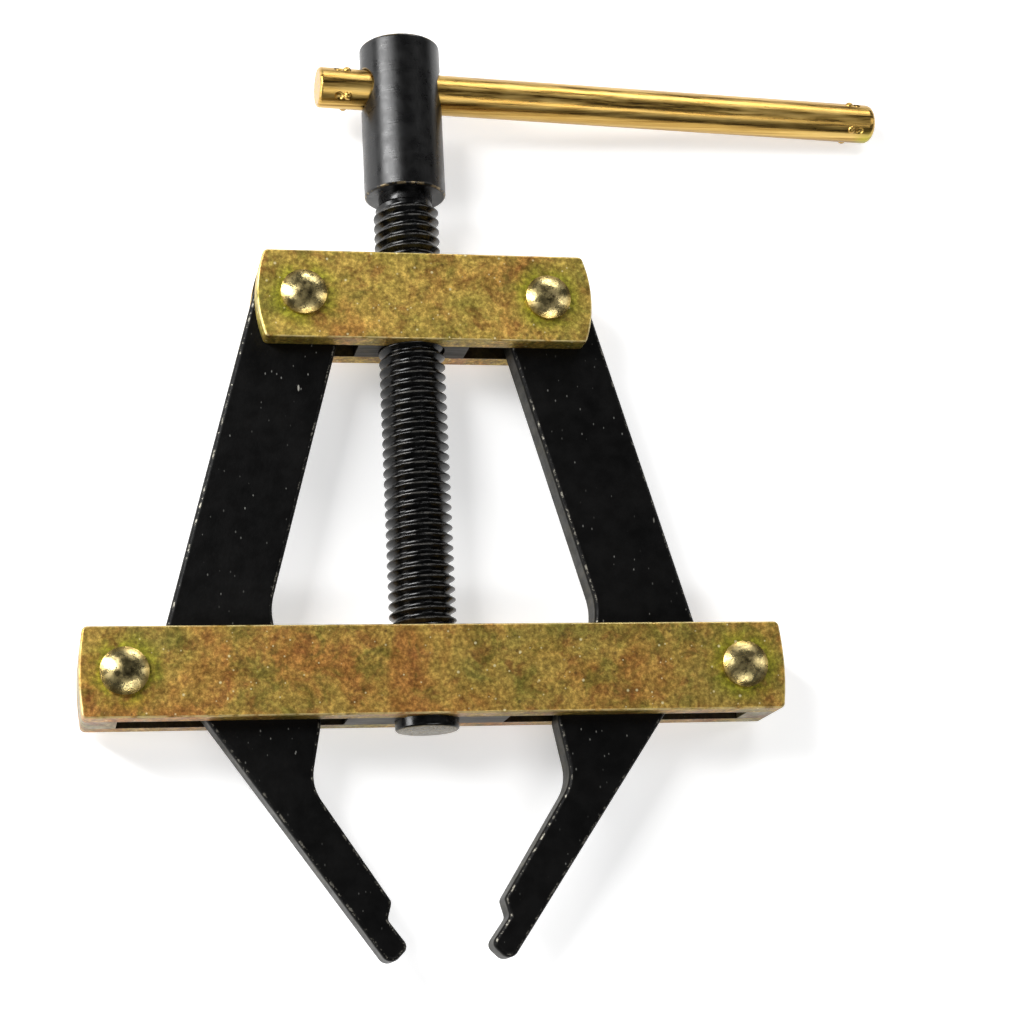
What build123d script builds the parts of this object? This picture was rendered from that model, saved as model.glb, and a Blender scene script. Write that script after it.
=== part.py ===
from build123d import *
from math import asin, cos, sin
import os

# Two-jaw chain puller, lying flat on its back.
# X is across the tool, Y runs along the screw from its tip towards its head, and Z is up.
# The origin is the centre of the screw's tip face, and Z = 0 is the tool's mid-plane.

# Plates and the gap that the arms swing in
plate_thickness = 5.5
plate_gap = 8.4
plate_edge_radius = 0.6
plate_corner_radius = 1.3
plate_face = plate_gap / 2 + plate_thickness

# The bars and arms are symmetric about a line that stands to the right of the screw
bar_offset = 2.6

# Upper crossbar, which carries the nut and the arm pivots
upper_half_length = 40.8
upper_half_height = 11.0
upper_centre = 103.8
upper_end_bow = 2.0
upper_rivet_x = 29.7

# Lower crossbar, which the screw carries up and down
lower_half_length = 82.5
lower_half_height = 10.5
lower_centre = 13.0
lower_end_bow = 0.85
lower_rivet_x = 72.4

# Rivets, and the spacers on the lower ones: round towards the arms and flush with the bar's end
rivet_shank_radius = 3.5
rivet_head_radius = 5.5
rivet_head_flank = 1.1
rivet_dome_height = 1.6
spacer_radius = 5.8
spacer_step = 1.5
rest_height = plate_face + rivet_head_flank + rivet_dome_height

# Forcing screw
thread_radius = 8.0
thread_pitch = 2.5
thread_turns = 42
thread_depth = 0.5413 * thread_pitch
thread_start = 24.6
journal_radius = 7.5
tip_chamfer = 0.5
neck_radius = 4.8
neck_low = 9.5
neck_high = 16.5
running_clearance = 0.08

# Head of the screw, pressed over the spindle's plain end
head_radius = 10.0
head_low = 132.6
head_high = 172.6
head_edge = 0.7
socket_radius = 6.0
socket_depth = 15.0

# Sliding tommy bar
tommy_radius = 5.0
tommy_centre = 161.0
tommy_left = -21.2
tommy_right = 127.0
tommy_left_round = 0.8
tommy_right_round = 2.0
tommy_clearance = 0.1
hole_mouth = 0.6
stake_inset = 7.0
ear_radius = 1.1
ear_reach = 5.7
dimple_radius = 1.3
dimple_spacing = 2.2

# Blocks between the plates, each side of the screw
nut_block_outer = 13.5
nut_block_inner = 5.0
retainer_outer = 19.0
retainer_inner = 2.6
tongue_clearance = 0.1

# Jaw arms
arm_thickness = 8.0
arm_edge_radius = 1.1
pivot_bore_radius = rivet_shank_radius + running_clearance

# Outline of the right arm as (x from the bars' centre, y, corner radius), from the inner top clockwise
arm_corners = [
    (16.0, 112.6, 8.0),
    (39.1, 112.6, 9.0),
    (64.6, 17.6, 7.0),
    (13.85, -53.9, 2.4),
    (9.4, -49.5, 1.8),
    (14.0, -43.3, 1.5),
    (12.95, -39.3, 1.4),
    (30.4, -12.6, 10.0),
    (27.6, 2.4, 5.0),
    (39.3, 26.5, 15.0),
]

# The bar leans until its far end rests on the plane that the rivet heads lie on
tommy_lean = asin((rest_height - tommy_radius) / (tommy_right - tommy_right_round))
tommy_plane = Plane(
    origin=(0, tommy_centre, 0),
    x_dir=(0, 1, 0),
    z_dir=(cos(tommy_lean), 0, -sin(tommy_lean)),
)


def crossbar_plate(half_length, half_height, centre_y, end_bow, rivet_x, groove_radius):
    """Front plate of a crossbar: bowed ends, two rivet holes and a groove for the screw."""
    left = bar_offset - half_length
    right = bar_offset + half_length
    low = centre_y - half_height
    high = centre_y + half_height
    with BuildPart() as plate:
        with BuildSketch(Plane.XY.offset(plate_gap / 2)) as outline:
            with BuildLine():
                Line((left + end_bow, high), (right - end_bow, high))
                ThreePointArc((right - end_bow, high), (right, centre_y), (right - end_bow, low))
                Line((right - end_bow, low), (left + end_bow, low))
                ThreePointArc((left + end_bow, low), (left, centre_y), (left + end_bow, high))
            make_face()
            fillet(outline.vertices(), plate_corner_radius)
            with Locations((bar_offset - rivet_x, centre_y), (bar_offset + rivet_x, centre_y)):
                Circle(rivet_shank_radius, mode=Mode.SUBTRACT)
        extrude(amount=plate_thickness)
        outer_face = plate.faces().sort_by(Axis.Z)[-1]
        fillet(outer_face.outer_wire().edges(), plate_edge_radius)
        with Locations((0, centre_y, 0)):
            Cylinder(groove_radius, 3 * half_height, rotation=(90, 0, 0), mode=Mode.SUBTRACT)
    return plate.part


def rear_plate(front_plate):
    """The matching plate behind the mid-plane."""
    with BuildPart() as plate:
        mirror(front_plate, about=Plane.XY)
    return plate.part


def domed_rivet(x, y):
    """Rivet through both plates, with a low dome on a short flank at each end."""
    flank_top = plate_face + rivet_head_flank
    with BuildPart() as rivet:
        with BuildSketch(Plane(origin=(x, y, 0), x_dir=(1, 0, 0), z_dir=(0, -1, 0))):
            with BuildLine():
                Polyline(
                    (0, rest_height),
                    (0, 0),
                    (rivet_shank_radius, 0),
                    (rivet_shank_radius, plate_face),
                    (rivet_head_radius, plate_face),
                    (rivet_head_radius, flank_top),
                )
                TangentArc((0, rest_height), (rivet_head_radius, flank_top), tangent=(1, 0))
            make_face()
        revolve(axis=Axis((x, y, 0), (0, 0, 1)))
        mirror(about=Plane.XY)
    return rivet.part


def end_spacer(side):
    """Spacer that fills one end of the lower crossbar, as thick as the gap between the plates."""
    rivet_x = bar_offset + side * lower_rivet_x
    inner = rivet_x + side * spacer_step
    outer = bar_offset + side * lower_half_length
    bowed = outer - side * lower_end_bow
    low = lower_centre - lower_half_height
    high = lower_centre + lower_half_height
    with BuildPart() as spacer:
        with BuildSketch(Plane.XY.offset(-plate_gap / 2)) as outline:
            with BuildLine():
                Polyline((bowed, low), (inner, low), (inner, high), (bowed, high))
                ThreePointArc((bowed, high), (outer, lower_centre), (bowed, low))
            make_face()
            outer_corners = outline.vertices().sort_by(Axis.X, reverse=side > 0)[:2]
            fillet(outer_corners, plate_corner_radius)
            with Locations((rivet_x, lower_centre)):
                Circle(spacer_radius)
                Circle(rivet_shank_radius, mode=Mode.SUBTRACT)
        extrude(amount=plate_gap)
    return spacer.part


def bored_block(side, inner, outer, centre_y, half_height, bores):
    """Block between the plates on one side of the screw, cut by bores (radius, low, high)."""
    with BuildPart() as block:
        with Locations((side * (inner + outer) / 2, centre_y, 0)):
            Box(outer - inner, 2 * half_height, plate_gap)
        for radius, low, high in bores:
            with Locations((0, (low + high) / 2, 0)):
                Cylinder(radius, high - low, rotation=(90, 0, 0), mode=Mode.SUBTRACT)
    return block.part


def thread_profile():
    """Half section of the spindle as (radius, y) points, with one V groove for each turn."""
    root_radius = thread_radius - thread_depth
    flank = 0.3125 * thread_pitch
    points = [
        (0, 0),
        (journal_radius - tip_chamfer, 0),
        (journal_radius, tip_chamfer),
        (journal_radius, neck_low),
        (neck_radius, neck_low),
        (neck_radius, neck_high),
        (journal_radius, neck_high),
        (journal_radius, thread_start - flank),
    ]
    for turn in range(thread_turns):
        root = thread_start + turn * thread_pitch
        points.append((root_radius, root))
        points.append((root_radius, root + thread_pitch / 4))
        points.append((thread_radius, root + thread_pitch / 4 + flank))
        points.append((thread_radius, root + thread_pitch - flank))
    points.append((root_radius, thread_start + thread_turns * thread_pitch))
    points.append((root_radius, head_low))
    points.append((socket_radius, head_low))
    points.append((socket_radius, head_low + socket_depth))
    points.append((0, head_low + socket_depth))
    return points


def jaw_arm(mirrored):
    """Flat jaw arm: pivot bore on top, elbow at the lower crossbar, stepped jaw at the tip."""
    side = -1 if mirrored else 1
    pivot_x = bar_offset + side * upper_rivet_x
    corners = [(bar_offset + side * x, y) for x, y, _ in arm_corners]
    radii = [radius for _, _, radius in arm_corners]
    with BuildPart() as arm:
        with BuildSketch(Plane.XY.offset(-arm_thickness / 2)):
            with BuildLine():
                FilletPolyline(*corners, radius=radii, close=True)
            make_face()
        extrude(amount=arm_thickness)
        top_rim = arm.faces().sort_by(Axis.Z)[-1].outer_wire().edges()
        bottom_rim = arm.faces().sort_by(Axis.Z)[0].outer_wire().edges()
        fillet(top_rim + bottom_rim, arm_edge_radius)
        with Locations((pivot_x, upper_centre, 0)):
            Cylinder(pivot_bore_radius, 2 * arm_thickness, mode=Mode.SUBTRACT)
    return arm.part


screw_bore = thread_radius + running_clearance
journal_bore = journal_radius + running_clearance

# Upper crossbar: two plates, two nut halves and two pivot rivets
with BuildPart() as upper_front_plate:
    add(crossbar_plate(
        upper_half_length, upper_half_height, upper_centre, upper_end_bow, upper_rivet_x, screw_bore
    ))
with BuildPart() as upper_rear_plate:
    add(rear_plate(upper_front_plate.part))
upper_bore = [(screw_bore, upper_centre - 2 * upper_half_height, upper_centre + 2 * upper_half_height)]
with BuildPart() as nut_block_left:
    add(bored_block(-1, nut_block_inner, nut_block_outer, upper_centre, upper_half_height, upper_bore))
with BuildPart() as nut_block_right:
    add(bored_block(1, nut_block_inner, nut_block_outer, upper_centre, upper_half_height, upper_bore))
with BuildPart() as upper_rivet_left:
    add(domed_rivet(bar_offset - upper_rivet_x, upper_centre))
with BuildPart() as upper_rivet_right:
    add(domed_rivet(bar_offset + upper_rivet_x, upper_centre))

# Lower crossbar: two plates, two rivets, two end spacers and two blocks that grip the screw's neck
with BuildPart() as lower_front_plate:
    add(crossbar_plate(
        lower_half_length, lower_half_height, lower_centre, lower_end_bow, lower_rivet_x, journal_bore
    ))
with BuildPart() as lower_rear_plate:
    add(rear_plate(lower_front_plate.part))
with BuildPart() as lower_rivet_left:
    add(domed_rivet(bar_offset - lower_rivet_x, lower_centre))
with BuildPart() as lower_rivet_right:
    add(domed_rivet(bar_offset + lower_rivet_x, lower_centre))
with BuildPart() as lower_spacer_left:
    add(end_spacer(-1))
with BuildPart() as lower_spacer_right:
    add(end_spacer(1))
tongue_low = neck_low + tongue_clearance
tongue_high = neck_high - tongue_clearance
neck_bores = [
    (journal_bore, lower_centre - 2 * lower_half_height, tongue_low),
    (neck_radius + running_clearance, tongue_low, tongue_high),
    (journal_bore, tongue_high, lower_centre + 2 * lower_half_height),
]
with BuildPart() as retainer_block_left:
    add(bored_block(-1, retainer_inner, retainer_outer, lower_centre, lower_half_height, neck_bores))
with BuildPart() as retainer_block_right:
    add(bored_block(1, retainer_inner, retainer_outer, lower_centre, lower_half_height, neck_bores))

# Spindle: plain tip journal, retaining neck, threaded length and the end inside the head
with BuildPart() as spindle:
    with BuildSketch(Plane.XY):
        with BuildLine():
            Polyline(*thread_profile(), close=True)
        make_face()
    revolve(axis=Axis.Y)

# Head: a plain cylinder with eased rims, a blind socket and a cross hole for the tommy bar
with BuildPart() as spindle_head:
    with Locations((0, (head_low + head_high) / 2, 0)):
        Cylinder(head_radius, head_high - head_low, rotation=(90, 0, 0))
    fillet(spindle_head.edges().filter_by(GeomType.CIRCLE), head_edge)
    with Locations((0, head_low + socket_depth / 2, 0)):
        Cylinder(socket_radius, socket_depth, rotation=(90, 0, 0), mode=Mode.SUBTRACT)
    with BuildSketch(tommy_plane):
        Circle(tommy_radius + tommy_clearance)
    extrude(amount=2 * head_radius, both=True, mode=Mode.SUBTRACT)
    mouths = spindle_head.edges().filter_by(GeomType.BSPLINE)
    fillet(mouths, hole_mouth)

# Tommy bar: round bar with eased ends, staked near each end so that it can't fall out
with BuildPart() as tommy_bar:
    with BuildSketch(tommy_plane.offset(tommy_left)):
        Circle(tommy_radius)
    extrude(amount=tommy_right - tommy_left)
    rims = tommy_bar.edges().filter_by(GeomType.CIRCLE).sort_by(Axis.X)
    fillet(rims[0], tommy_left_round)
    rims = tommy_bar.edges().filter_by(GeomType.CIRCLE).sort_by(Axis.X)
    fillet(rims[-1], tommy_right_round)
    for stake in (tommy_left + stake_inset, tommy_right - stake_inset):
        inward = 1 if stake < 0 else -1
        with Locations(tommy_plane.offset(stake)):
            with PolarLocations(ear_reach - ear_radius, 4, start_angle=45):
                Sphere(ear_radius)
        with Locations(tommy_plane.offset(stake - inward * dimple_spacing)):
            with PolarLocations(tommy_radius + dimple_radius / 2, 4, start_angle=45):
                Sphere(dimple_radius, mode=Mode.SUBTRACT)

# Jaw arms
with BuildPart() as right_arm:
    add(jaw_arm(mirrored=False))
with BuildPart() as left_arm:
    add(jaw_arm(mirrored=True))

upper_front_plate.part.label = "upper_front_plate"
upper_rear_plate.part.label = "upper_rear_plate"
nut_block_left.part.label = "nut_block_left"
nut_block_right.part.label = "nut_block_right"
upper_rivet_left.part.label = "upper_rivet_left"
upper_rivet_right.part.label = "upper_rivet_right"
lower_front_plate.part.label = "lower_front_plate"
lower_rear_plate.part.label = "lower_rear_plate"
lower_rivet_left.part.label = "lower_rivet_left"
lower_rivet_right.part.label = "lower_rivet_right"
lower_spacer_left.part.label = "lower_spacer_left"
lower_spacer_right.part.label = "lower_spacer_right"
retainer_block_left.part.label = "retainer_block_left"
retainer_block_right.part.label = "retainer_block_right"
spindle.part.label = "spindle"
spindle_head.part.label = "spindle_head"
tommy_bar.part.label = "tommy_bar"
left_arm.part.label = "left_arm"
right_arm.part.label = "right_arm"

os.makedirs("parts", exist_ok=True)
pieces = [
    upper_front_plate, upper_rear_plate, nut_block_left, nut_block_right,
    upper_rivet_left, upper_rivet_right, lower_front_plate, lower_rear_plate,
    lower_rivet_left, lower_rivet_right, lower_spacer_left, lower_spacer_right,
    retainer_block_left, retainer_block_right, spindle, spindle_head,
    tommy_bar, left_arm, right_arm,
]
for piece in pieces:
    export_step(piece.part, f"parts/{piece.part.label}.step")
print("tommy bar axis", tuple(round(value, 6) for value in tommy_plane.z_dir))
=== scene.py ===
import math

import bmesh
import bpy
from mathutils import Euler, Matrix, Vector


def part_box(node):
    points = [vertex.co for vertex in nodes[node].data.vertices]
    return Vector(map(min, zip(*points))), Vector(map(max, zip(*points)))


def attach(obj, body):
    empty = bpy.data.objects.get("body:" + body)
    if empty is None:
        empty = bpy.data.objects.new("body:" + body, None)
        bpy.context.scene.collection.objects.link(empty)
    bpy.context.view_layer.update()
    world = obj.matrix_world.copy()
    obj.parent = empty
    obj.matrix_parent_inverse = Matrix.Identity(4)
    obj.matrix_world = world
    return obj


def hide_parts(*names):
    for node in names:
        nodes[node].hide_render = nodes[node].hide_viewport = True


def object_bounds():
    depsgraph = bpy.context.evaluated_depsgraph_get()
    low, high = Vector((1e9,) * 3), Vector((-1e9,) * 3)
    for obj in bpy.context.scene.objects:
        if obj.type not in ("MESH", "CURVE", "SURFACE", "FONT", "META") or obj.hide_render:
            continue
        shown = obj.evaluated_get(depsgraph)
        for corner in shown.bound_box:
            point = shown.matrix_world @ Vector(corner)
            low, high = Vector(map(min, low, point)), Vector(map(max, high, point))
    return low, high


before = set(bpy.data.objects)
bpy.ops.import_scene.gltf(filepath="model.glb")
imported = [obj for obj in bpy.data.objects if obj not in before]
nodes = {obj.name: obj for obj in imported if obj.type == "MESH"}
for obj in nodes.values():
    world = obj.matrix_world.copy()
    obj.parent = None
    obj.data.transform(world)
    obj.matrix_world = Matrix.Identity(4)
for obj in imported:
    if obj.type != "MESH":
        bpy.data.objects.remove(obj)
cad_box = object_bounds()

MM = 0.001

# ---------------------------------------------------------------- camera, lights and floor

CAMERA_PLACE = (-93.0 * MM, -85.9 * MM, 522.0 * MM)
CAMERA_TURN = (0.26454, -0.20492, -0.05182)
CAMERA_LENS = 80.86
FLOOR_HALF = 3.0
WORLD_COLOUR = (0.95, 0.97, 1.0, 1.0)
WORLD_STRENGTH = 0.06

# name, place, point aimed at, (width, height), watts
LIGHTS = [
    ("key", (-0.60, 0.42, 0.56), (0.0, 0.05, 0.0), (0.24, 0.70), 10.5),
    ("front", (0.20, -0.42, 0.74), (0.02, 0.08, 0.0), (0.60, 0.12), 2.0),
    ("left_low", (-0.80, -0.05, 0.20), (0.0, 0.05, 0.0), (0.30, 0.30), 3.5),
    ("right", (0.75, 0.20, 0.45), (0.0, 0.05, 0.0), (0.20, 0.60), 1.2),
    ("back", (0.28, 0.80, 0.42), (0.05, 0.16, 0.0), (0.50, 0.16), 2.6),
]


def srgb(red, green, blue):
    """A colour given from 0 to 255 as seen on a screen, in the linear values that shaders use."""
    return tuple(
        c / 12.92 if c <= 0.04045 else ((c + 0.055) / 1.055) ** 2.4
        for c in (red / 255, green / 255, blue / 255)
    )


# olive, gold and russet of the plating on each bar and on the spacers
UPPER_TONES = (srgb(170, 150, 66), srgb(198, 164, 78), srgb(188, 138, 66))
LOWER_TONES = (srgb(148, 130, 58), srgb(180, 146, 68), srgb(172, 120, 56))
SPACER_TONES = (srgb(120, 112, 84), srgb(146, 132, 100), srgb(132, 108, 74))

BAR_DIAMETER = 10 * MM
BAR_STAIN_FADES = (155 * MM, 158.5 * MM)


class Graph:
    """One material's node tree. Its methods add nodes and return their output sockets."""

    def __init__(self, name):
        self.material = bpy.data.materials.new(name)
        self.material.use_nodes = True
        self.tree = self.material.node_tree
        self.tree.nodes.clear()
        self.shader = self.tree.nodes.new("ShaderNodeBsdfPrincipled")
        output = self.tree.nodes.new("ShaderNodeOutputMaterial")
        self.tree.links.new(self.shader.outputs["BSDF"], output.inputs["Surface"])
        place = self.tree.nodes.new("ShaderNodeTexCoord")
        self.point = place.outputs["Object"]
        self.normal = place.outputs["Normal"]
        self.generated = place.outputs["Generated"]

    def put(self, socket, value):
        """Links a socket to the input, or sets the input to a number, vector or colour."""
        if isinstance(value, bpy.types.NodeSocket):
            self.tree.links.new(value, socket)
        elif isinstance(value, (int, float)):
            socket.default_value = value
        elif len(socket.default_value) == 4:
            socket.default_value = (*value, 1.0)
        else:
            socket.default_value = value

    def add(self, kind, result, inputs, **settings):
        node = self.tree.nodes.new(kind)
        for name, value in settings.items():
            setattr(node, name, value)
        for key, value in inputs.items():
            self.put(node.inputs[key], value)
        return node.outputs[result]

    def math(self, operation, *values):
        return self.add("ShaderNodeMath", 0, dict(enumerate(values)), operation=operation)

    def reach(self, first, second):
        """The length of a vector of two components."""
        squares = [self.math("MULTIPLY", value, value) for value in (first, second)]
        return self.math("SQRT", self.math("ADD", *squares))

    def split(self, vector):
        """The x, y and z of a vector, as three sockets."""
        node = self.tree.nodes.new("ShaderNodeSeparateXYZ")
        self.put(node.inputs[0], vector)
        return node.outputs[0], node.outputs[1], node.outputs[2]

    def mapped(self, shift=(0, 0, 0), scale=(1, 1, 1), turn=(0, 0, 0)):
        """The object's own coordinates, turned, stretched and moved."""
        inputs = {"Vector": self.point, "Location": shift, "Rotation": turn, "Scale": scale}
        return self.add("ShaderNodeMapping", 0, inputs)

    def noise(self, size, detail=4.0, point=None, roughness=0.55, distortion=0.0):
        """Cloudy noise from 0 to 1, whose blotches are about that size in metres."""
        inputs = {
            "Vector": point or self.point,
            "Scale": 1 / size,
            "Detail": detail,
            "Roughness": roughness,
            "Distortion": distortion,
        }
        return self.add("ShaderNodeTexNoise", 0, inputs)

    def step(self, value, low, high, start=0.0, end=1.0):
        """A smooth step from start to end as the value goes from low to high."""
        inputs = {0: value, 1: low, 2: high, 3: start, 4: end}
        return self.add("ShaderNodeMapRange", 0, inputs, interpolation_type="SMOOTHSTEP")

    def blend(self, first, second, factor, mode="MIX"):
        inputs = {0: factor, 6: first, 7: second}
        return self.add("ShaderNodeMix", 2, inputs, data_type="RGBA", blend_type=mode)

    def ramp(self, factor, stops):
        node = self.tree.nodes.new("ShaderNodeValToRGB")
        elements = node.color_ramp.elements
        while len(elements) < len(stops):
            elements.new(0.5)
        for element, (position, colour) in zip(elements, stops):
            element.position = position
            element.color = (*colour, 1.0)
        self.put(node.inputs[0], factor)
        return node.outputs[0]

    def specks(self, size, share, radius, point=None):
        """Scattered round specks: cells of that size, of which a share hold a speck."""
        node = self.tree.nodes.new("ShaderNodeTexVoronoi")
        self.put(node.inputs["Vector"], point or self.point)
        node.inputs["Scale"].default_value = 1 / size
        chosen = self.step(self.split(node.outputs["Color"])[0], 1 - share, 1 - share + 0.01)
        near = self.step(node.outputs["Distance"], radius * 0.5, radius, 1.0, 0.0)
        return self.math("MULTIPLY", chosen, near)

    def rim(self, component, low=0.2, high=0.97):
        """1 on rounded edges, where a component of the normal is between flat and square."""
        size = self.math("ABSOLUTE", self.split(self.normal)[component])
        rising = self.step(size, low, low + 0.25)
        falling = self.step(size, high - 0.1, high, 1.0, 0.0)
        return self.math("MULTIPLY", rising, falling)

    def bump(self, height, distance, strength=1.0, under=None):
        inputs = {"Height": height, "Distance": distance, "Strength": strength}
        if under is not None:
            inputs["Normal"] = under
        return self.add("ShaderNodeBump", 0, inputs)

    def finish(self, **inputs):
        """Sets the shader's inputs, whose names have spaces where these have underscores."""
        for name, value in inputs.items():
            self.put(self.shader.inputs[name.replace("_", " ")], value)
        return self.material


def zinc_plate(name, olive, gold, russet, rivets, shift, painted_shade_below):
    """Yellow-passivated zinc: mottled gold with red-brown and green patches, and pale edges that are
    partly wear and partly a painted highlight.

    Faces nearer the mid-plane than the last depth given lie within the bar, between the two plates,
    and are darkened there with painted shade.
    """
    g = Graph(name)
    place = g.mapped(shift=shift)
    colour = g.ramp(
        g.noise(0.020, 4.0, place, 0.6, 0.4),
        [(0.36, olive), (0.50, gold), (0.62, russet)],
    )
    brown = g.step(g.noise(0.0058, 6.0, place, 0.66, 0.5), 0.48, 0.66, 0.0, 0.60)
    colour = g.blend(colour, srgb(128, 72, 34), brown)
    green_place = g.mapped(shift=(shift[0] + 0.3, shift[1], shift[2]))
    green = g.step(g.noise(0.0075, 6.0, green_place, 0.66, 0.5), 0.48, 0.66, 0.0, 0.55)
    colour = g.blend(colour, srgb(100, 106, 36), green)
    x, y, z = g.split(g.point)
    for rivet_x, rivet_y in rivets:
        across = g.math("SUBTRACT", x, rivet_x)
        along = g.math("SUBTRACT", y, rivet_y)
        stain = g.step(g.reach(across, along), 5.2 * MM, 10.5 * MM, 0.8, 0.0)
        stain = g.math("MULTIPLY", stain, g.step(g.noise(0.005, 3.0), 0.3, 0.55))
        colour = g.blend(colour, srgb(144, 146, 30), stain)
    grain = g.ramp(
        g.noise(0.0011, 4.0, roughness=0.75),
        [(0.32, (0.30, 0.28, 0.25)), (0.5, (0.85, 0.84, 0.82)), (0.66, (1.7, 1.75, 1.9))],
    )
    colour = g.blend(colour, grain, 0.85, "MULTIPLY")
    for size, share in ((0.0021, 0.16), (0.0013, 0.14)):
        bright = g.math("MULTIPLY", g.specks(size, share, 0.20), 0.75)
        colour = g.blend(colour, srgb(236, 224, 172), bright)
    pits = g.specks(0.0034, 0.20, 0.16)
    colour = g.blend(colour, srgb(66, 48, 24), g.math("MULTIPLY", pits, 0.6))
    # pale rounded edges: partly wear, partly a painted edge highlight
    worn = g.math("MULTIPLY", g.rim(2), g.step(g.noise(0.003, 4.0), 0.32, 0.55))
    colour = g.blend(colour, srgb(214, 196, 138), g.math("MULTIPLY", worn, 0.75))
    # painted shade: faces within the bar, between the two plates, are darkened almost to black
    depth = g.math("ABSOLUTE", z)
    painted_gap_shade = g.step(depth, painted_shade_below, painted_shade_below + 0.4 * MM, 0.92, 0.0)
    colour = g.blend(colour, srgb(26, 24, 18), painted_gap_shade)
    shear = g.noise(0.0005, 3.0, g.mapped(scale=(1, 1, 0.06)))
    flat = g.step(g.math("ABSOLUTE", g.split(g.normal)[2]), 0.1, 0.5)
    edge_height = g.math("MULTIPLY", shear, g.math("SUBTRACT", 1.0, flat))
    face_height = g.math("MULTIPLY", g.noise(0.0011, 5.0, roughness=0.65), flat)
    relief = g.bump(g.math("ADD", edge_height, face_height), 0.00012, 0.8)
    return g.finish(
        Base_Color=colour,
        Metallic=0.62,
        Roughness=g.step(g.noise(0.005, 5.0), 0.3, 0.7, 0.34, 0.52),
        Normal=relief,
    )


def zinc_rivet(name):
    """The same plating on a hammered dome, greenish round its rim, with a painted dark reflection in
    patches over the centre of the dome.
    """
    g = Graph(name)
    across, along, _ = g.split(g.generated)
    across = g.math("SUBTRACT", across, 0.5)
    along = g.math("SUBTRACT", along, 0.5)
    reach = g.reach(across, along)
    colour = g.ramp(
        g.noise(0.004, 4.0, distortion=0.5),
        [(0.35, srgb(150, 138, 96)), (0.55, srgb(196, 178, 124)), (0.7, srgb(214, 194, 140))],
    )
    rim_tint = g.step(reach, 0.36, 0.49, 0.0, 0.6)
    colour = g.blend(colour, srgb(176, 144, 66), rim_tint)
    # painted dark reflection: dark patches towards the centre of the dome
    blotch = g.step(g.noise(0.0021, 5.0, roughness=0.7), 0.46, 0.60)
    painted_dark_reflection = g.step(reach, 0.10, 0.36, 0.85, 0.0)
    colour = g.blend(colour, srgb(54, 48, 30), g.math("MULTIPLY", blotch, painted_dark_reflection))
    grain = g.ramp(
        g.noise(0.0006, 3.0, roughness=0.7),
        [(0.3, (0.5, 0.48, 0.45)), (0.7, (1.25, 1.25, 1.25))],
    )
    colour = g.blend(colour, grain, 0.7, "MULTIPLY")
    cells = {"Vector": g.point, "Scale": 1 / 0.0022, "Smoothness": 0.6}
    dents = g.add("ShaderNodeTexVoronoi", "Distance", cells, feature="SMOOTH_F1")
    relief = g.bump(dents, 0.00015, 0.3)
    relief = g.bump(g.noise(0.0007, 4.0), 0.0001, 0.5, relief)
    return g.finish(
        Base_Color=colour,
        Metallic=0.95,
        Roughness=g.step(g.noise(0.002, 4.0), 0.3, 0.7, 0.18, 0.36),
        Normal=relief,
    )


def dark_steel(name):
    """Oiled, machined steel of the blocks between the plates."""
    g = Graph(name)
    colour = g.ramp(
        g.noise(0.006, 4.0),
        [(0.35, srgb(34, 31, 26)), (0.6, srgb(56, 50, 38)), (0.75, srgb(80, 68, 42))],
    )
    lines = g.noise(0.0006, 3.0, g.mapped(scale=(0.05, 1, 1)))
    worn = g.math("MULTIPLY", g.rim(2, 0.3, 0.99), 0.5)
    colour = g.blend(colour, srgb(150, 140, 120), worn)
    return g.finish(
        Base_Color=colour,
        Metallic=0.85,
        Roughness=g.step(lines, 0.3, 0.7, 0.36, 0.55),
        Normal=g.bump(lines, 0.00008, 0.5),
    )


def black_arm(name, shift):
    """Satin black oxide on cut plate: bright specks, pale edges that are partly wear and partly a
    painted highlight, and dull brown sides.
    """
    g = Graph(name)
    place = g.mapped(shift=shift)
    colour = g.ramp(
        g.noise(0.018, 4.0, place),
        [(0.35, (0.0012, 0.0012, 0.0012)), (0.65, (0.0030, 0.0029, 0.0028))],
    )
    clusters = g.step(g.noise(0.014, 3.0, place), 0.42, 0.62, 0.15, 1.0)
    dust_place = g.mapped(shift=shift, scale=(1, 0.55, 1), turn=(0, 0, 0.3))
    dust = g.specks(0.0012, 0.28, 0.17, dust_place)
    colour = g.blend(colour, srgb(104, 104, 100), g.math("MULTIPLY", dust, clusters))
    scratch_place = g.mapped(shift=shift, scale=(1, 0.30, 1), turn=(0, 0, -0.5))
    scratch = g.specks(0.0042, 0.22, 0.07, scratch_place)
    colour = g.blend(colour, srgb(150, 148, 140), g.math("MULTIPLY", scratch, clusters))
    flat = g.step(g.math("ABSOLUTE", g.split(g.normal)[2]), 0.15, 0.6)
    side_colour = g.ramp(
        g.noise(0.0025, 5.0, g.mapped(shift=shift, scale=(1, 1, 0.35))),
        [(0.35, srgb(22, 21, 18)), (0.6, srgb(44, 42, 34)), (0.75, srgb(60, 56, 44))],
    )
    colour = g.blend(side_colour, colour, flat)
    # pale chipped edges: partly wear, partly a painted edge highlight
    chips = g.step(g.noise(0.0017, 6.0, roughness=0.75), 0.52, 0.62)
    worn = g.math("MULTIPLY", g.rim(2, 0.62, 0.99), chips)
    colour = g.blend(colour, srgb(150, 146, 134), g.math("MULTIPLY", worn, 0.7))
    shear = g.noise(0.0006, 3.0, g.mapped(scale=(1, 1, 0.08)))
    edge_height = g.math("MULTIPLY", shear, g.math("SUBTRACT", 1.0, flat))
    face_height = g.math("MULTIPLY", g.noise(0.0009, 4.0), flat)
    relief = g.bump(g.math("ADD", edge_height, face_height), 0.00012, 0.5)
    return g.finish(
        Base_Color=colour,
        Metallic=g.math("MULTIPLY", worn, 0.8),
        Roughness=g.step(g.noise(0.004, 5.0), 0.3, 0.7, 0.36, 0.48),
        Specular_IOR_Level=0.10,
        Normal=relief,
    )


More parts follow.
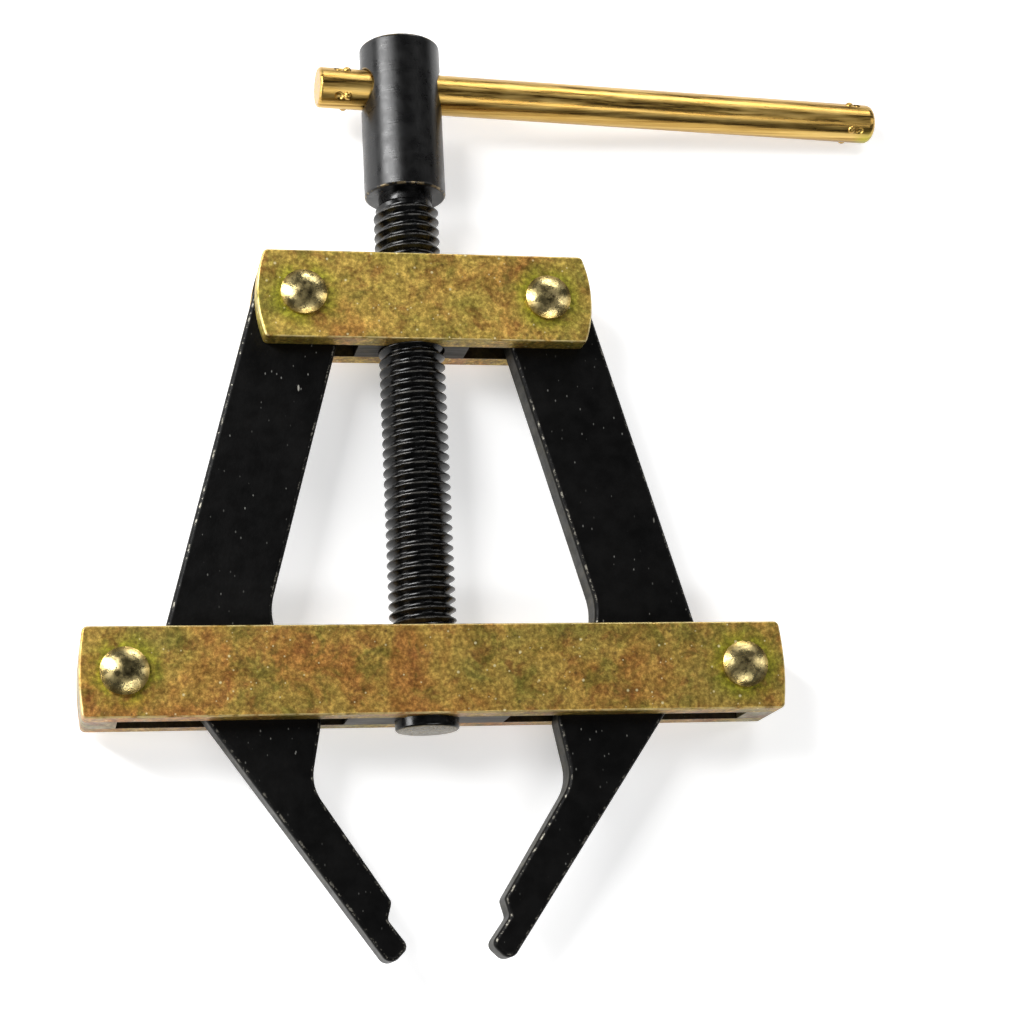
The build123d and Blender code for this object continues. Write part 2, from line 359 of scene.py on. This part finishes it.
def black_head(name):
    """Turned and blacked head, with fine rings and scuffed brown rims."""
    g = Graph(name)
    colour = g.ramp(
        g.noise(0.009, 4.0),
        [(0.35, (0.0006, 0.0006, 0.0007)), (0.7, (0.0020, 0.0020, 0.0021))],
    )
    scuffed = g.math("MULTIPLY", g.rim(1, 0.15, 0.97), g.step(g.noise(0.0016, 4.0), 0.42, 0.60))
    colour = g.blend(colour, srgb(150, 134, 104), g.math("MULTIPLY", scuffed, 0.75))
    dust = g.specks(0.0019, 0.05, 0.12)
    colour = g.blend(colour, srgb(120, 118, 114), g.math("MULTIPLY", dust, 0.6))
    x, y, z = g.split(g.point)
    radius = g.reach(x, z)
    turned = g.add("ShaderNodeCombineXYZ", 0, {0: radius, 1: y})
    rings = g.noise(0.00045, 3.0, turned)
    relief = g.bump(rings, 0.00006, 0.4)
    relief = g.bump(g.noise(0.0012, 4.0), 0.00006, 0.35, relief)
    return g.finish(
        Base_Color=colour,
        Metallic=g.math("MULTIPLY", scuffed, 0.8),
        Roughness=g.step(g.noise(0.003, 4.0), 0.3, 0.7, 0.26, 0.36),
        Specular_IOR_Level=0.4,
        Normal=relief,
    )


def oiled_thread(name):
    """Oily black screw: glossy flanks, crests rubbed slightly bright, and a bare end face."""
    g = Graph(name)
    x, y, z = g.split(g.point)
    radius = g.reach(x, z)
    colour = g.ramp(
        g.noise(0.007, 4.0),
        [(0.35, (0.0005, 0.0005, 0.0005)), (0.7, (0.0016, 0.0015, 0.0014))],
    )
    crest = g.step(radius, 7.86 * MM, 7.97 * MM)
    rubbed = g.math("MULTIPLY", crest, g.step(g.noise(0.002, 4.0), 0.40, 0.62))
    colour = g.blend(colour, srgb(92, 90, 86), g.math("MULTIPLY", rubbed, 0.55))
    facing = g.step(g.split(g.normal)[1], -0.9, -0.6, 1.0, 0.0)
    tip = g.math("MULTIPLY", g.step(y, 0.2 * MM, 0.45 * MM, 1.0, 0.0), facing)
    bare = g.ramp(
        g.noise(0.0016, 5.0),
        [(0.35, srgb(84, 74, 50)), (0.65, srgb(132, 118, 84))],
    )
    colour = g.blend(colour, bare, tip)
    return g.finish(
        Base_Color=colour,
        Metallic=g.math("MULTIPLY", rubbed, 0.5),
        Roughness=g.step(g.noise(0.0018, 4.0), 0.3, 0.7, 0.18, 0.30),
        Specular_IOR_Level=0.4,
        Normal=g.bump(g.noise(0.0008, 3.0), 0.00005, 0.35),
    )


def drawn_brass(name, lean, right_end):
    """Polished brass bar: light and dark lines along its length, drawing marks together with painted
    reflections, and a greenish stain by its right end.
    """
    g = Graph(name)
    reflection_and_drawing_place = g.mapped(scale=(0.012, 1, 1), turn=(0, lean, 0))
    reflection_and_drawing_streaks = g.noise(0.0011, 4.0, reflection_and_drawing_place, 0.65)
    fine = g.noise(0.00028, 3.0, g.mapped(scale=(0.02, 1, 1), turn=(0, lean, 0)))
    # painted reflection: the light and dark lines along the bar stand for reflections as well as
    # drawing marks
    colour = g.ramp(
        reflection_and_drawing_streaks,
        [(0.36, srgb(140, 108, 52)), (0.5, srgb(190, 154, 82)), (0.64, srgb(222, 188, 112))],
    )
    cloud = g.step(g.noise(0.012, 3.0), 0.45, 0.7, 0.0, 0.35)
    colour = g.blend(colour, srgb(176, 138, 66), cloud)
    fine_tone = g.ramp(fine, [(0.3, (0.8, 0.8, 0.8)), (0.7, (1.1, 1.1, 1.1))])
    colour = g.blend(colour, fine_tone, 0.6, "MULTIPLY")
    x, y, _ = g.split(g.point)
    near_end = g.step(x, right_end - 7 * MM, right_end - 2 * MM)
    low_side = g.step(y, *BAR_STAIN_FADES, 1.0, 0.0)
    stain = g.math("MULTIPLY", near_end, low_side)
    colour = g.blend(colour, srgb(150, 160, 40), g.math("MULTIPLY", stain, 0.7))
    pits = g.specks(0.0024, 0.08, 0.10)
    colour = g.blend(colour, srgb(84, 62, 30), g.math("MULTIPLY", pits, 0.6))
    relief = g.bump(reflection_and_drawing_streaks, 0.0001, 0.35)
    relief = g.bump(fine, 0.00003, 0.4, relief)
    return g.finish(
        Base_Color=colour,
        Metallic=1.0,
        Roughness=g.step(reflection_and_drawing_streaks, 0.35, 0.65, 0.24, 0.42),
        Anisotropic=0.4,
        Normal=relief,
    )


def pale_floor(name):
    g = Graph(name)
    mist = g.noise(0.35, 2.0)
    return g.finish(
        Base_Color=g.ramp(mist, [(0.3, (0.90, 0.90, 0.90)), (0.7, (0.92, 0.92, 0.92))]),
        Roughness=0.75,
        Specular_IOR_Level=0.2,
        Emission_Color=(1.0, 1.0, 1.0),
        Emission_Strength=0.45,
    )


# ---------------------------------------------------------------- screw with a true helix

THREAD_PITCH = 2.5
THREAD_CREST = 8.0
THREAD_DEPTH = 1.3533
THREAD_LOW = 23.8
THREAD_HIGH = 130.4
THREAD_FADE = 1.6
JOURNAL_RADIUS = 7.5
RELIEF_RADIUS = 6.6
RING_STEPS = 72

# One pitch of the thread, as (share of the pitch, depth below the crest in mm), with eased corners
THREAD_SECTION = [
    (0.00, 1.29), (0.05, THREAD_DEPTH), (0.20, THREAD_DEPTH), (0.25, 1.29),
    (0.54, 0.07), (0.585, 0.0), (0.665, 0.0), (0.71, 0.07),
]

# Plain parts, as (radius, y), from the tip to the first turn and from the last turn to the head
TIP_SECTION = [
    (0.0, 0.0), (6.9, 0.0), (7.15, 0.07), (7.4, 0.28),
    (JOURNAL_RADIUS, 0.6), (JOURNAL_RADIUS, 9.3), (7.3, 9.5),
    (4.8, 9.5), (4.8, 16.5), (7.3, 16.5),
    (JOURNAL_RADIUS, 16.7), (JOURNAL_RADIUS, THREAD_LOW),
]
SHANK_SECTION = [
    (RELIEF_RADIUS, THREAD_HIGH), (RELIEF_RADIUS, 132.6),
    (6.0, 132.6), (6.0, 147.6), (0.0, 147.6),
]


def smooth(value):
    value = min(max(value, 0.0), 1.0)
    return value * value * (3 - 2 * value)


def thread_vertex(row, step):
    """(radius, y) of a thread row at an angular step, where the row climbs one pitch a turn."""
    turn, point = divmod(row, len(THREAD_SECTION))
    share, depth = THREAD_SECTION[point]
    y = THREAD_LOW + (turn + share + step / RING_STEPS) * THREAD_PITCH
    radius = THREAD_CREST - depth
    if y < THREAD_LOW + THREAD_FADE:
        radius = JOURNAL_RADIUS + (radius - JOURNAL_RADIUS) * smooth((y - THREAD_LOW) / THREAD_FADE)
    if y > THREAD_HIGH - THREAD_FADE:
        radius = RELIEF_RADIUS + (radius - RELIEF_RADIUS) * smooth((THREAD_HIGH - y) / THREAD_FADE)
    return radius, min(max(y, THREAD_LOW), THREAD_HIGH)


def ring_point(mesh, radius, y, step):
    angle = 2 * math.pi * step / RING_STEPS
    return mesh.verts.new((radius * math.sin(angle) * MM, y * MM, radius * math.cos(angle) * MM))


def lathe(mesh, section):
    """Rings of quads round the axis, closing to a point where the section's radius is 0."""
    rings = []
    for radius, y in section:
        if radius == 0:
            rings.append([mesh.verts.new((0, y * MM, 0))] * RING_STEPS)
        else:
            rings.append([ring_point(mesh, radius, y, step) for step in range(RING_STEPS)])
    for low, high in zip(rings, rings[1:]):
        for step in range(RING_STEPS):
            after = (step + 1) % RING_STEPS
            corners = []
            for corner in (low[step], low[after], high[after], high[step]):
                if corner not in corners:
                    corners.append(corner)
            mesh.faces.new(corners)


def helical_screw():
    """The whole screw as one mesh: lathed ends, and rows of quads climbing as a right-hand helix."""
    mesh = bmesh.new()
    rows_a_turn = len(THREAD_SECTION)
    turns = math.ceil((THREAD_HIGH - THREAD_LOW) / THREAD_PITCH) + 1
    columns = []
    for step in range(RING_STEPS):
        column = []
        for row in range(-rows_a_turn, turns * rows_a_turn):
            radius, y = thread_vertex(row, step)
            column.append(ring_point(mesh, radius, y, step))
        columns.append(column)
    for step in range(RING_STEPS):
        here = columns[step]
        there = columns[(step + 1) % RING_STEPS]
        climb = rows_a_turn if step == RING_STEPS - 1 else 0
        for row in range(len(here) - 1 - climb):
            above = row + climb
            mesh.faces.new((here[row], there[above], there[above + 1], here[row + 1]))
    for section in (TIP_SECTION, SHANK_SECTION):
        lathe(mesh, section)
    bmesh.ops.remove_doubles(mesh, verts=mesh.verts, dist=0.002 * MM)
    bmesh.ops.dissolve_degenerate(mesh, edges=mesh.edges, dist=0.001 * MM)
    bmesh.ops.recalc_face_normals(mesh, faces=mesh.faces)
    data = bpy.data.meshes.new("threaded_spindle")
    mesh.to_mesh(data)
    mesh.free()
    data.shade_smooth()
    data.set_sharp_from_angle(angle=math.radians(38))
    piece = bpy.data.objects.new("threaded_spindle", data)
    bpy.context.scene.collection.objects.link(piece)
    return piece


# ---------------------------------------------------------------- dressing the CAD nodes


def centre(node):
    low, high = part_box(node)
    return (low + high) / 2


def dress(names, material):
    for name in names:
        for material_slot in nodes[name].material_slots:
            material_slot.material = material


def rivet_places(*names):
    return [(centre(name).x, centre(name).y) for name in names]


plate_inner_face = -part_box("upper_rear_plate")[1].z
upper_rivets = rivet_places("upper_rivet_left", "upper_rivet_right")
lower_rivets = rivet_places("lower_rivet_left", "lower_rivet_right")
dress(
    ["upper_front_plate", "upper_rear_plate"],
    zinc_plate("zinc_upper", *UPPER_TONES, upper_rivets, (0.11, 0.07, 0.0), plate_inner_face),
)
dress(
    ["lower_front_plate", "lower_rear_plate"],
    zinc_plate("zinc_lower", *LOWER_TONES, lower_rivets, (0.05, 0.21, 0.1), plate_inner_face),
)
dress(
    ["lower_spacer_left", "lower_spacer_right"],
    zinc_plate("zinc_spacer", *SPACER_TONES, [], (0.31, 0.11, 0.2), -1.0),
)
dress([name for name in nodes if "_rivet_" in name], zinc_rivet("zinc_rivet"))
dress([name for name in nodes if "_block_" in name], dark_steel("oiled_steel"))
dress(["left_arm"], black_arm("black_arm_left", (0.0, 0.0, 0.0)))
dress(["right_arm"], black_arm("black_arm_right", (0.4, 0.1, 0.0)))
dress(["spindle_head"], black_head("black_head"))
bar_low, bar_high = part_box("tommy_bar")
bar_lean = math.asin((bar_high.z - bar_low.z - BAR_DIAMETER) / (bar_high.x - bar_low.x))
dress(["tommy_bar"], drawn_brass("drawn_brass", -bar_lean, bar_high.x))

screw = helical_screw()
screw.data.materials.append(oiled_thread("oiled_thread"))
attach(screw, "screw")
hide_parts("spindle")

# ---------------------------------------------------------------- studio

floor_mesh = bpy.data.meshes.new("studio_floor")
floor_z = cad_box[0][2]
floor_corners = [
    (-FLOOR_HALF, -FLOOR_HALF, floor_z), (FLOOR_HALF, -FLOOR_HALF, floor_z),
    (FLOOR_HALF, FLOOR_HALF, floor_z), (-FLOOR_HALF, FLOOR_HALF, floor_z),
]
floor_mesh.from_pydata(floor_corners, [], [(0, 1, 2, 3)])
floor = bpy.data.objects.new("studio_floor", floor_mesh)
floor.data.materials.append(pale_floor("pale_floor"))
bpy.context.scene.collection.objects.link(floor)

for name, place, aim, size, watts in LIGHTS:
    lamp = bpy.data.lights.new(name, "AREA")
    lamp.shape = "RECTANGLE"
    lamp.size, lamp.size_y = size
    lamp.energy = watts
    light = bpy.data.objects.new(name, lamp)
    light.location = place
    light.rotation_euler = (Vector(aim) - Vector(place)).to_track_quat("-Z", "Y").to_euler()
    bpy.context.scene.collection.objects.link(light)

world = bpy.data.worlds.new("studio")
world.use_nodes = True
world.node_tree.nodes["Background"].inputs["Color"].default_value = WORLD_COLOUR
world.node_tree.nodes["Background"].inputs["Strength"].default_value = WORLD_STRENGTH
bpy.context.scene.world = world
bpy.context.scene.view_settings.view_transform = "Standard"

camera_data = bpy.data.cameras.new("camera")
camera_data.lens = CAMERA_LENS
camera_data.sensor_width = 36.0
camera_data.clip_start = 0.01
camera = bpy.data.objects.new("camera", camera_data)
camera.location = CAMERA_PLACE
camera.rotation_euler = Euler(CAMERA_TURN, "XYZ")
bpy.context.scene.collection.objects.link(camera)
bpy.context.scene.camera = camera
